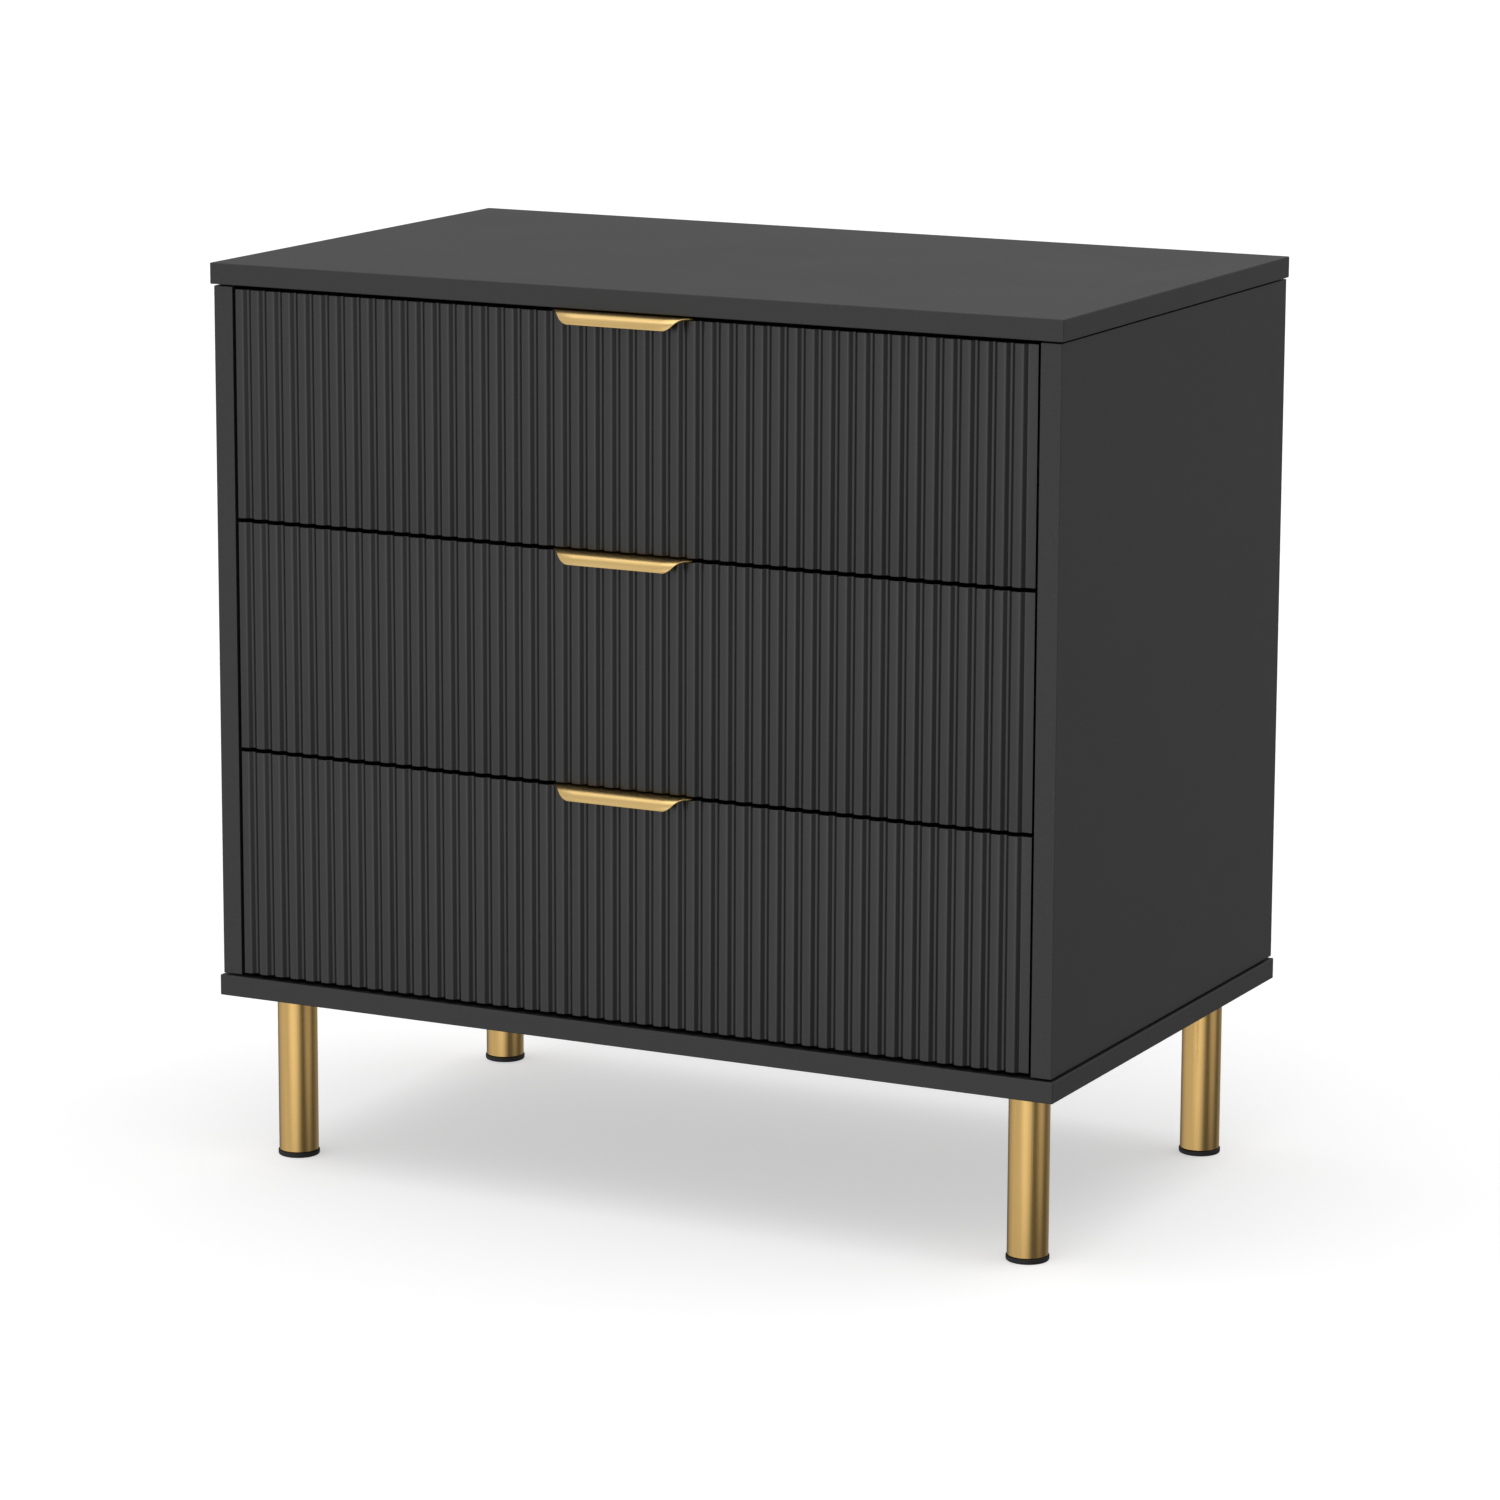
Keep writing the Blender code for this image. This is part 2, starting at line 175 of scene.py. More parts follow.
def maths(tree, operation, first, second=None, clamp=False):
    """A Math node. Each operand is a socket or a number."""
    made = node(tree, "ShaderNodeMath", operation=operation, use_clamp=clamp)
    for slot, value in zip(made.inputs, (first, second)):
        if value is None:
            continue
        if isinstance(value, (int, float)):
            slot.default_value = value
        else:
            wire(tree, value, slot)
    return made.outputs[0]


def noise(tree, vector, scale, detail=2.0, roughness=0.5):
    made = node(tree, "ShaderNodeTexNoise")
    made.inputs["Scale"].default_value = scale
    made.inputs["Detail"].default_value = detail
    made.inputs["Roughness"].default_value = roughness
    wire(tree, vector, made.inputs["Vector"])
    return made.outputs["Fac"]


def streak_group():
    """Straight fine lines: two noises on Object coordinates that are multiplied by the Stretch vector,
    one fine and one broad, mixed 0.65 to 0.35. Tone and Height run from 0 to 1."""
    group, given, out = new_group(
        "drawn_lines",
        [("Stretch", "NodeSocketVector", (1.0, 1.0, 1.0)), ("Contrast", "NodeSocketFloat", 1.0)],
        [("Tone", "NodeSocketFloat", None), ("Height", "NodeSocketFloat", None)],
    )
    place = node(group, "ShaderNodeTexCoord").outputs["Object"]
    scaled = node(group, "ShaderNodeVectorMath", operation="MULTIPLY")
    wire(group, place, scaled.inputs[0])
    wire(group, given.outputs["Stretch"], scaled.inputs[1])
    fine = noise(group, scaled.outputs[0], 1.0, 3.0, 0.6)
    broad = noise(group, scaled.outputs[0], 0.23, 1.0, 0.5)
    both = maths(group, "ADD", maths(group, "MULTIPLY", fine, 0.65), maths(group, "MULTIPLY", broad, 0.35))
    centred = maths(group, "MULTIPLY", maths(group, "SUBTRACT", both, 0.5), given.outputs["Contrast"])
    tone = maths(group, "ADD", centred, 0.5, clamp=True)
    wire(group, tone, out.inputs["Tone"])
    wire(group, both, out.inputs["Height"])
    return group


def grain_group():
    """Pebbled skin of laminate, paint or moulded plastic: a fine noise for height, and a slow noise for
    patches where hands and cloths have changed the sheen. Fine is cells per metre."""
    group, given, out = new_group(
        "pebbled_skin",
        [("Fine", "NodeSocketFloat", 1800.0), ("Patch", "NodeSocketFloat", 9.0)],
        [
            ("Height", "NodeSocketFloat", None),
            ("Patches", "NodeSocketFloat", None),
            ("Specks", "NodeSocketFloat", None),
        ],
    )
    place = node(group, "ShaderNodeTexCoord").outputs["Object"]
    fine = node(group, "ShaderNodeTexNoise")
    fine.inputs["Detail"].default_value = 2.0
    wire(group, place, fine.inputs["Vector"])
    wire(group, given.outputs["Fine"], fine.inputs["Scale"])
    patch = node(group, "ShaderNodeTexNoise")
    patch.inputs["Detail"].default_value = 4.0
    patch.inputs["Roughness"].default_value = 0.55
    wire(group, place, patch.inputs["Vector"])
    wire(group, given.outputs["Patch"], patch.inputs["Scale"])
    specks = node(group, "ShaderNodeMapRange")
    wire(group, noise(group, place, 620.0, 1.0), specks.inputs["Value"])
    specks.inputs["From Min"].default_value = 0.66
    specks.inputs["From Max"].default_value = 0.78
    wire(group, fine.outputs["Fac"], out.inputs["Height"])
    wire(group, patch.outputs["Fac"], out.inputs["Patches"])
    wire(group, specks.outputs["Result"], out.inputs["Specks"])
    return group


def dust_group():
    """Fine dust: more on faces that look up, broken up by a slow noise. Amount scales the mask."""
    group, given, out = new_group(
        "settled_dust",
        [("Amount", "NodeSocketFloat", 0.3)],
        [("Mask", "NodeSocketFloat", None)],
    )
    normal = node(group, "ShaderNodeNewGeometry").outputs["Normal"]
    split = node(group, "ShaderNodeSeparateXYZ")
    wire(group, normal, split.inputs[0])
    up = maths(group, "MAXIMUM", split.outputs["Z"], 0.0)
    place = node(group, "ShaderNodeTexCoord").outputs["Object"]
    cloud = noise(group, place, 38.0, 6.0, 0.65)
    mask = maths(group, "MULTIPLY", maths(group, "MULTIPLY", up, cloud), given.outputs["Amount"])
    wire(group, mask, out.inputs["Mask"])
    return group


LINES = streak_group()
SKIN = grain_group()
DUST = dust_group()


# ---------------------------------------------------------------- materials
def shader_of(name, metallic=0.0, specular=0.5):
    look = bpy.data.materials.new(name)
    look.use_nodes = True
    shader = look.node_tree.nodes["Principled BSDF"]
    shader.inputs["Metallic"].default_value = metallic
    shader.inputs["Specular IOR Level"].default_value = specular
    return look, look.node_tree, shader


def use_group(tree, group, **values):
    made = node(tree, "ShaderNodeGroup", node_tree=group)
    for key, value in values.items():
        made.inputs[key].default_value = value
    return made


def blend_colour(tree, factor, first, second):
    """Mix of two colours. Each is a linear RGB tuple or a socket."""
    mix = node(tree, "ShaderNodeMix", data_type="RGBA")
    wire(tree, factor, mix.inputs["Factor"])
    for socket, value in ((mix.inputs[6], first), (mix.inputs[7], second)):
        if isinstance(value, tuple):
            socket.default_value = (*value, 1.0)
        else:
            wire(tree, value, socket)
    return mix.outputs[2]


def span(tree, value, low, high):
    """Maps 0..1 to low..high."""
    return maths(tree, "ADD", maths(tree, "MULTIPLY", value, high - low), low)


def bump(tree, shader, height, distance):
    """Bumps the shader's normal. A height of 1 stands the distance proud."""
    made = node(tree, "ShaderNodeBump")
    made.inputs["Strength"].default_value = 1.0
    made.inputs["Distance"].default_value = distance
    wire(tree, height, made.inputs["Height"])
    wire(tree, made.outputs["Normal"], shader.inputs["Normal"])


def coated_board(name, dark, light, rough, fine, depth, specular, dust):
    """Laminated or painted board: pebbled skin, slow patches in tone and sheen, pale specks and dust."""
    look, tree, shader = shader_of(name, specular=specular)
    skin_of = use_group(tree, SKIN, Fine=fine)
    colour = blend_colour(tree, skin_of.outputs["Patches"], dark, light)
    colour = blend_colour(
        tree, maths(tree, "MULTIPLY", skin_of.outputs["Specks"], 0.10), colour, (0.20, 0.20, 0.20)
    )
    veil = use_group(tree, DUST, Amount=dust).outputs["Mask"]
    colour = blend_colour(tree, veil, colour, (0.35, 0.34, 0.33))
    wire(tree, colour, shader.inputs["Base Color"])
    sheen = span(tree, skin_of.outputs["Patches"], rough - 0.04, rough + 0.04)
    wire(tree, maths(tree, "ADD", sheen, maths(tree, "MULTIPLY", veil, 0.5)), shader.inputs["Roughness"])
    bump(tree, shader, skin_of.outputs["Height"], depth)
    return look


def reeded_paint(name):
    """Painted reeding: upright lines left by the cutter under the paint, with the board's own skin."""
    look, tree, shader = shader_of(name, specular=0.71)
    lines = use_group(tree, LINES, Stretch=(1500.0, 1500.0, 7.0), Contrast=1.4)
    skin_of = use_group(tree, SKIN, Fine=2200.0)
    colour = blend_colour(tree, lines.outputs["Tone"], (0.005, 0.005, 0.005), (0.011, 0.011, 0.011))
    colour = blend_colour(
        tree, maths(tree, "MULTIPLY", skin_of.outputs["Specks"], 0.06), colour, (0.12, 0.12, 0.12)
    )
    wire(tree, colour, shader.inputs["Base Color"])
    wire(tree, span(tree, lines.outputs["Tone"], 0.24, 0.33), shader.inputs["Roughness"])
    height = maths(
        tree,
        "ADD",
        maths(tree, "MULTIPLY", lines.outputs["Height"], 0.7),
        maths(tree, "MULTIPLY", skin_of.outputs["Height"], 0.3),
    )
    bump(tree, shader, height, 0.00006)
    return look


def brushed_metal(name, dark, light, stretch, rough, depth, patches=0.12):
    """Brushed or drawn metal: streaks in tone, roughness and height, and slow patches of handling."""
    look, tree, shader = shader_of(name, metallic=1.0)
    lines = use_group(tree, LINES, Stretch=stretch, Contrast=1.6)
    skin_of = use_group(tree, SKIN, Fine=900.0, Patch=22.0)
    colour = blend_colour(tree, lines.outputs["Tone"], dark, light)
    tarnish = tuple(0.72 * value for value in dark)
    worn = maths(tree, "MULTIPLY", skin_of.outputs["Patches"], patches)
    colour = blend_colour(tree, worn, colour, tarnish)
    wire(tree, colour, shader.inputs["Base Color"])
    sheen = span(tree, lines.outputs["Tone"], rough - 0.06, rough + 0.06)
    smudge = maths(tree, "MULTIPLY", maths(tree, "SUBTRACT", skin_of.outputs["Patches"], 0.5), 0.10)
    wire(tree, maths(tree, "ADD", sheen, smudge), shader.inputs["Roughness"])
    bump(tree, shader, lines.outputs["Height"], depth)
    return look


def moulded_plastic(name):
    """Black moulded plastic: fine pebbled skin and slow patches in tone and sheen."""
    look, tree, shader = shader_of(name, specular=0.4)
    skin_of = use_group(tree, SKIN, Fine=2600.0, Patch=40.0)
    wire(
        tree,
        blend_colour(tree, skin_of.outputs["Patches"], (0.008, 0.008, 0.008), (0.014, 0.013, 0.013)),
        shader.inputs["Base Color"],
    )
    wire(tree, span(tree, skin_of.outputs["Patches"], 0.5, 0.66), shader.inputs["Roughness"])
    bump(tree, shader, skin_of.outputs["Height"], 0.00008)
    return look


BOARD_LOOK = coated_board(
    "satin_black_board",
    dark=(0.0125, 0.0125, 0.0125),
    light=(0.0165, 0.0165, 0.0165),
    rough=0.46,
    fine=1900.0,
    depth=0.00005,
    specular=0.62,
    dust=0.012,
)
REED_LOOK = reeded_paint("reeded_black_paint")
BOX_LOOK = coated_board(
    "drawer_box_laminate",
    dark=(0.055, 0.055, 0.057),
    light=(0.068, 0.068, 0.070),
    rough=0.55,
    fine=1500.0,
    depth=0.00006,
    specular=0.4,
    dust=0.03,
)
BACKING_LOOK = coated_board(
    "hardboard_backing",
    dark=(0.040, 0.038, 0.036),
    light=(0.055, 0.052, 0.049),
    rough=0.68,
    fine=700.0,
    depth=0.00012,
    specular=0.35,
    dust=0.03,
)
PULL_LOOK = brushed_metal(
    "pull_brass",
    dark=(0.66, 0.43, 0.15),
    light=(0.90, 0.66, 0.30),
    stretch=(14.0, 2300.0, 2300.0),
    rough=0.27,
    depth=0.00005,
)
LEG_LOOK = brushed_metal(
    "leg_brass",
    dark=(0.68, 0.435, 0.15),
    light=(0.84, 0.56, 0.22),
    stretch=(1500.0, 1500.0, 9.0),
    rough=0.28,
    depth=0.00004,
)
STEEL_LOOK = brushed_metal(
    "zinc_plate",
    dark=(0.50, 0.51, 0.53),
    light=(0.64, 0.65, 0.67),
    stretch=(900.0, 12.0, 900.0),
    rough=0.34,
    depth=0.00003,
    patches=0.3,
)
SCREW_LOOK = brushed_metal(
    "screw_steel",
    dark=(0.44, 0.44, 0.45),
    light=(0.60, 0.60, 0.61),
    stretch=(900.0, 900.0, 900.0),
    rough=0.30,
    depth=0.00003,
    patches=0.3,
)
FOOT_LOOK = moulded_plastic("foot_plastic")


# ---------------------------------------------------------------- carcass
EASE = 0.0008  # arris of the carcass panels
THIN_EASE = 0.0005  # arris of the sides and the drawer boxes
BACKING_EASE = 0.0004
FLOOR_EASE = 0.0003
STEP_UP = 0.0009  # height of the shadow line between a side and a panel
STEP_IN = 0.004  # depth of the shadow line


def corners_of(name):
    """Lowest and highest corner of a CAD node's box, as arrays."""
    low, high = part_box(name)
    return np.array(low, float), np.array(high, float)


def block_grid(low, high):
    """Grid of a box: its outline in X and Y swept up Z."""
    outline = [(low[0], low[1]), (high[0], low[1]), (high[0], high[1]), (low[0], high[1])]
    return swept(outline, low[2], high[2], 2)


def plain_board(name, source, look, body=CABINET, width=EASE):
    """Rectangular board or sheet on a CAD node's box, with eased edges."""
    piece = ease(put_mesh(name, *skin(block_grid(*corners_of(source)))), width)
    return finish_piece(piece, look, body, (source,))


def stepped_side(name, source, side):
    """Side board whose ends step in by STEP_IN over a height of STEP_UP, which leaves the shadow line."""
    low, high = corners_of(source)
    step_low, step_high = low[2] + STEP_UP, high[2] - STEP_UP
    heights = np.array([low[2], step_low, step_low, step_high, step_high, high[2]])
    inset = np.array([1, 1, 0, 0, 1, 1]) * STEP_IN
    x_low = low[0] + (inset if side < 0 else 0 * inset)
    x_high = high[0] - (inset if side > 0 else 0 * inset)
    y_low = low[1] + inset
    y_high = high[1] - inset
    grid = np.stack(
        [
            np.stack([x_low, y_low, heights], -1),
            np.stack([x_high, y_low, heights], -1),
            np.stack([x_high, y_high, heights], -1),
            np.stack([x_low, y_high, heights], -1),
        ],
        axis=1,
    )
    piece = ease(put_mesh(name, *skin(grid)), THIN_EASE)
    return finish_piece(piece, BOARD_LOOK, CABINET, (source,))


plain_board("top_board", "top_panel", BOARD_LOOK)
plain_board("base_board", "bottom_panel", BOARD_LOOK)
stepped_side("left_side_board", "left_side_panel", -1)
stepped_side("right_side_board", "right_side_panel", 1)
plain_board("back_sheet", "back_panel", BACKING_LOOK, width=BACKING_EASE)


# ---------------------------------------------------------------- legs
TUBE_WALL = 0.0012
STUD_RADIUS = 0.004
DISC_THICK = 0.003  # disc welded into the top of the tube
AXIS_HOLE = 0.0004  # keeps a turned piece from closing to a point on its axis
PLATE_BORE = 0.0043


def leg(corner):
    """Tube with a welded top disc and stud, a foot cap and a mounting plate, all turned about one axis."""
    low, high = corners_of(f"leg_{corner}")
    plate_low, plate_high = corners_of(f"leg_plate_{corner}")
    cap_low, cap_high = corners_of(f"foot_cap_{corner}")
    centre = (low[:2] + high[:2]) / 2
    radius = (high[0] - low[0]) / 2
    tube_top = plate_low[2] - FIT
    disc_low = tube_top - DISC_THICK
    bore = radius - TUBE_WALL
    outline = [
        (bore, low[2]),
        (radius, low[2]),
        (radius, tube_top),
        (STUD_RADIUS, tube_top),
        (STUD_RADIUS, high[2]),
        (AXIS_HOLE, high[2]),
        (AXIS_HOLE, disc_low),
        (bore, disc_low),
    ]
    reach = [0.0003, 0.0004, 0.0008, 0.0002, 0.0006, 0, 0, 0.001]
    grid = turned(soften(outline, reach, 4), centre)
    tube = put_mesh(f"leg_tube_{corner}", *skin(grid, wrap_rows=True), crease=50)
    finish_piece(tube, LEG_LOOK, CABINET, (f"leg_{corner}",))

    cap_radius = (cap_high[0] - cap_low[0]) / 2
    flange = low[2] - FIT
    outline = [
        (AXIS_HOLE, 0.0),
        (cap_radius, 0.0),
        (cap_radius, flange),
        (bore - FIT, flange),
        (bore - FIT, cap_high[2]),
        (AXIS_HOLE, cap_high[2]),
    ]
    reach = [0, 0.0016, 0.0006, 0.0003, 0.001, 0]
    grid = turned(soften(outline, reach, 6), centre)
    cap = put_mesh(f"foot_{corner}", *skin(grid, wrap_rows=True), crease=50)
    finish_piece(cap, FOOT_LOOK, CABINET, (f"foot_cap_{corner}",))

    plate_radius = (plate_high[0] - plate_low[0]) / 2
    outline = [
        (PLATE_BORE, plate_low[2]),
        (plate_radius, plate_low[2]),
        (plate_radius, plate_high[2]),
        (PLATE_BORE, plate_high[2]),
    ]
    grid = turned(soften(outline, [0.0002, 0.0011, 0.0002, 0.0002], 5), centre)
    plate = put_mesh(f"mounting_plate_{corner}", *skin(grid, wrap_rows=True), crease=50)
    finish_piece(plate, STEEL_LOOK, CABINET, (f"leg_plate_{corner}",))


for corner in CORNERS:
    leg(corner)


# ---------------------------------------------------------------- drawers
RIBS = 48
RIB_DEPTH = 0.0025
RIB_FACE = 0.43  # flat top of a rib, as a share of the pitch
RIB_FLANK = 0.23  # each slope, as a share of the pitch
RIB_TAIL = 0.2  # groove past the last whole pitch, as a share of the pitch
RIB_ROUND = 0.0010
GROOVE_ROUND = 0.0005
FRONT_ARRIS = 0.0007


def rib_line(low_x, high_x):
    """Plan line of the reeding as (x, depth): RIBS flat ribs, each followed by a sloped flank, a flat
    floor and the next flank, with softened corners."""
    pitch = (high_x - low_x) / (RIBS + RIB_TAIL)
    marks = np.array([0.0, RIB_FACE, RIB_FACE + RIB_FLANK, 1.0 - RIB_FLANK])
    depth = np.array([0.0, 0.0, RIB_DEPTH, RIB_DEPTH])
    x = low_x + (np.arange(RIBS)[:, None] + marks[None, :]) * pitch
    line = np.stack([x, np.broadcast_to(depth, x.shape)], -1).reshape(-1, 2)
    line = np.vstack([line[:-1], [(high_x, RIB_DEPTH)]])
    reach = np.where(line[:, 1] == 0.0, RIB_ROUND, GROOVE_ROUND)
    return soften(line, reach, 5, closed=False)


def reeded_front(tag):
    """Front board. Its columns follow the rib line across the width. Each column is a loop in Y and Z:
    up the face with rounded arrises at both ends, over the top edge, down the back and under."""
    low, high = corners_of(f"{tag}_drawer_front")
    line = rib_line(low[0], high[0])
    turn = np.linspace(0, math.pi / 2, 5)
    easing_y = FRONT_ARRIS * (1 - np.sin(turn))
    easing_z = FRONT_ARRIS * (1 - np.cos(turn))
    face_y = np.concatenate([easing_y, easing_y[::-1]])
    face_z = np.concatenate([low[2] + easing_z, high[2] - easing_z[::-1]])
    back_y = high[1] - face_y
    back_z = face_z[::-1]
    columns = len(line)
    grid = np.empty((columns, 2 * len(face_y), 3))
    grid[:, :, 0] = line[:, :1]
    grid[:, : len(face_y), 1] = low[1] + line[:, 1:] + face_y[None, :]
    grid[:, len(face_y) :, 1] = back_y[None, :]
    grid[:, :, 2] = np.concatenate([face_z, back_z])[None, :]
    piece = put_mesh(f"{tag}_front", *skin(grid), crease=60)
    finish_piece(piece, REED_LOOK, f"{tag}_drawer", (f"{tag}_drawer_front",))


PULL_SHEET = 0.0012
PULL_TIP = 0.080  # width at the lip
PULL_DROP = 0.0072  # with the fit gap and half the sheet, from the pull's top to the lip's end
PULL_CURL = 0.0078
PULL_BEND = 0.0016
PULL_CORNER = 0.0040
PULL_END_SHARE = 0.55  # thickness left at the two rounded ends


def pull(tag):
    """Bent sheet. The centre line climbs behind the front, turns over its top edge and curls down in a
    quarter circle to the lip. Each station carries a loop round the sheet, flat on both faces and round
    at its two edges. The half width falls evenly with the distance from the face to the lip's end, and
    is rounded off at the lip's corners."""
    low, high = corners_of(f"{tag}_pull")
    front_low, _ = corners_of(f"{tag}_drawer_front")
    half = PULL_SHEET / 2
    face = front_low[1]
    over = high[2] - half
    rear = high[1] - half
    reach = face - low[1] - half
    drop = PULL_DROP + FIT + half
    radius = min(PULL_CURL, reach, drop)
    bend_y, bend_z = rear - PULL_BEND, over - PULL_BEND
    curl_y, curl_z = face - reach + radius, over - radius
    bend_turn = np.linspace(0, math.pi / 2, 7)
    curl_turn = np.linspace(0, math.pi / 2, 25)
    flange = np.stack([np.full(4, rear), np.linspace(low[2] + half, bend_z, 4)], -1)
    bend = np.stack(
        [bend_y + PULL_BEND * np.cos(bend_turn), bend_z + PULL_BEND * np.sin(bend_turn)], -1
    )
    flat = np.stack([np.linspace(bend_y, curl_y, 6), np.full(6, over)], -1)
    curl = np.stack([curl_y - radius * np.sin(curl_turn), curl_z + radius * np.cos(curl_turn)], -1)
    lip_end = [(face - reach, over - drop + half)]
    line = np.vstack([flange, bend[1:], flat[1:], curl[1:], lip_end])
    keep = np.concatenate([[True], np.linalg.norm(np.diff(line, axis=0), axis=1) > 1e-6])
    line = line[keep]
    along = np.gradient(line, axis=0)
    along /= np.linalg.norm(along, axis=1)[:, None]
    outward = np.stack([along[:, 1], -along[:, 0]], -1)
    travelled = np.concatenate([[0], np.cumsum(np.linalg.norm(np.diff(line, axis=0), axis=1))])
    left_to_go = travelled[-1] - travelled
    start = np.interp(-face, -line[:, 0], travelled)
    share = np.clip((travelled - start) / (travelled[-1] - start), 0, 1)
    width = (high[0] - low[0]) / 2
    half_width = width - (width - PULL_TIP / 2) * share
    close = np.clip(1 - left_to_go / PULL_CORNER, 0, 1)
    half_width = half_width - PULL_CORNER * (1 - np.sqrt(np.maximum(0, 1 - close**2)))
    across = np.linspace(-1, 1, 9)
    edge = np.linspace(math.pi / 2, -math.pi / 2, 7)[1:-1]
    loop_x = np.concatenate([across, np.ones(5), across[::-1], -np.ones(5)])
    loop_bulge = np.concatenate([np.zeros(9), np.cos(edge), np.zeros(9), -np.cos(edge)])
    loop_lift = np.concatenate([np.ones(9), np.sin(edge), -np.ones(9), -np.sin(edge)])
    thick = np.full(len(line), half)
    thick[0] *= PULL_END_SHARE
    thick[-1] *= PULL_END_SHARE
    grid = np.empty((len(line), len(loop_x), 3))
    grid[:, :, 0] = (half_width - half)[:, None] * loop_x + half * loop_bulge
    offset = thick[:, None] * loop_lift[None, :]
    grid[:, :, 1] = line[:, :1] + outward[:, :1] * offset
    grid[:, :, 2] = line[:, 1:] + outward[:, 1:] * offset
    piece = put_mesh(f"{tag}_lip_pull", *skin(grid), crease=60)
    finish_piece(piece, PULL_LOOK, f"{tag}_drawer", (f"{tag}_pull",))


GROOVE_DEPTH = 0.004


def grooved_side(tag, side_name, side):
    """Drawer side: an upright outline with the groove for the bottom sheet, swept front to back."""
    source = f"{tag}_drawer_{side_name}_side"
    low, high = corners_of(source)
    bottom_low, bottom_high = corners_of(f"{tag}_drawer_bottom")
    outer, inner = (low[0], high[0]) if side < 0 else (high[0], low[0])
    groove = inner + side * GROOVE_DEPTH
    outline = [
        (low[2], outer),
        (low[2], inner),
        (bottom_low[2] - FIT, inner),
        (bottom_low[2] - FIT, groove),
        (bottom_high[2] + FIT, groove),
        (bottom_high[2] + FIT, inner),
        (high[2], inner),
        (high[2], outer),
    ]
    grid = swept(outline, low[1], high[1], 1)
    piece = ease(put_mesh(f"{tag}_box_{side_name}", *skin(grid)), THIN_EASE, 2)
    finish_piece(piece, BOX_LOOK, f"{tag}_drawer", (source,))


RAIL_SHEET = 0.0012
SHANK_RADIUS = 0.0016
SCREW_POINT = 0.002
HEAD_SEAT = 0.0018  # from the seat under a pan head to its top
HEAD_RISE = 0.0009  # upright rim of a pan head, and the same again for its dome
CROSS_ARM = 0.13  # half width of a cross recess's arm, as a share of the head's radius
CROSS_REACH = 0.62
CROSS_DEPTH = 0.0011


def rail(name, source, body, open_side):
    """C channel rolled from sheet: softened outline in Z and X, swept front to back. open_side is the
    sign of X that its flanges point to."""
    low, high = corners_of(source)
    web, toe = (low[0], high[0]) if open_side > 0 else (high[0], low[0])
    inner = web + open_side * RAIL_SHEET
    outline = [
        (low[2], web),
        (high[2], web),
        (high[2], toe),
        (high[2] - RAIL_SHEET, toe),
        (high[2] - RAIL_SHEET, inner),
        (low[2] + RAIL_SHEET, inner),
        (low[2] + RAIL_SHEET, toe),
        (low[2], toe),
    ]
    reach = [0.0022, 0.0022, 0.0003, 0.0003, 0.001, 0.001, 0.0003, 0.0003]
    piece = put_mesh(name, *skin(swept(soften(outline, reach, 5), low[1], high[1], 1)))
    finish_piece(piece, STEEL_LOOK, body, (source,))


def cross_recess(a, b, reach):
    """Depth share, 0 to 1, of a cross recess at a and b, which are shares of the head's radius. An arm
    is exp of minus the fourth power of the distance from its middle line over CROSS_ARM, cut off at the
    reach along it, and the cross is the greater of its two arms."""
    upright = np.exp(-((a / CROSS_ARM) ** 4)) * (np.abs(b) < reach)
    level = np.exp(-((b / CROSS_ARM) ** 4)) * (np.abs(a) < reach)
    return np.maximum(upright, level)


def screw(name, source, body):
    """Pan-head screw along Y: a domed head with a cross recess pressed into it, and a pointed shank.
    The dome falls off with the square of the radius."""
    low, high = corners_of(source)
    centre = ((low[0] + high[0]) / 2, (low[2] + high[2]) / 2)
    head = (high[0] - low[0]) / 2
    seat = high[1] - HEAD_SEAT
    angle = np.linspace(0, 2 * math.pi, 48, endpoint=False)
    dome = np.linspace(0.02, 1, 14)[::-1]
    shaft = [SHANK_RADIUS * 0.15, SHANK_RADIUS, SHANK_RADIUS, head * 0.97]
    radius = np.concatenate([shaft, head * dome])
    head_y = seat + HEAD_RISE + HEAD_RISE * (1 - dome**2)
    base = np.concatenate([[low[1], low[1] + SCREW_POINT, seat, seat], head_y])
    x = radius[:, None] * np.cos(angle)
    z = radius[:, None] * np.sin(angle)
    slot = cross_recess(x / head, z / head, CROSS_REACH)
    slot[: len(shaft)] = 0
    grid = np.empty((*x.shape, 3))
    grid[:, :, 0] = centre[0] + x
    grid[:, :, 1] = base[:, None] - CROSS_DEPTH * slot
    grid[:, :, 2] = centre[1] + z
    piece = put_mesh(name, *skin(grid), crease=45)
    finish_piece(piece, SCREW_LOOK, body, (source,))


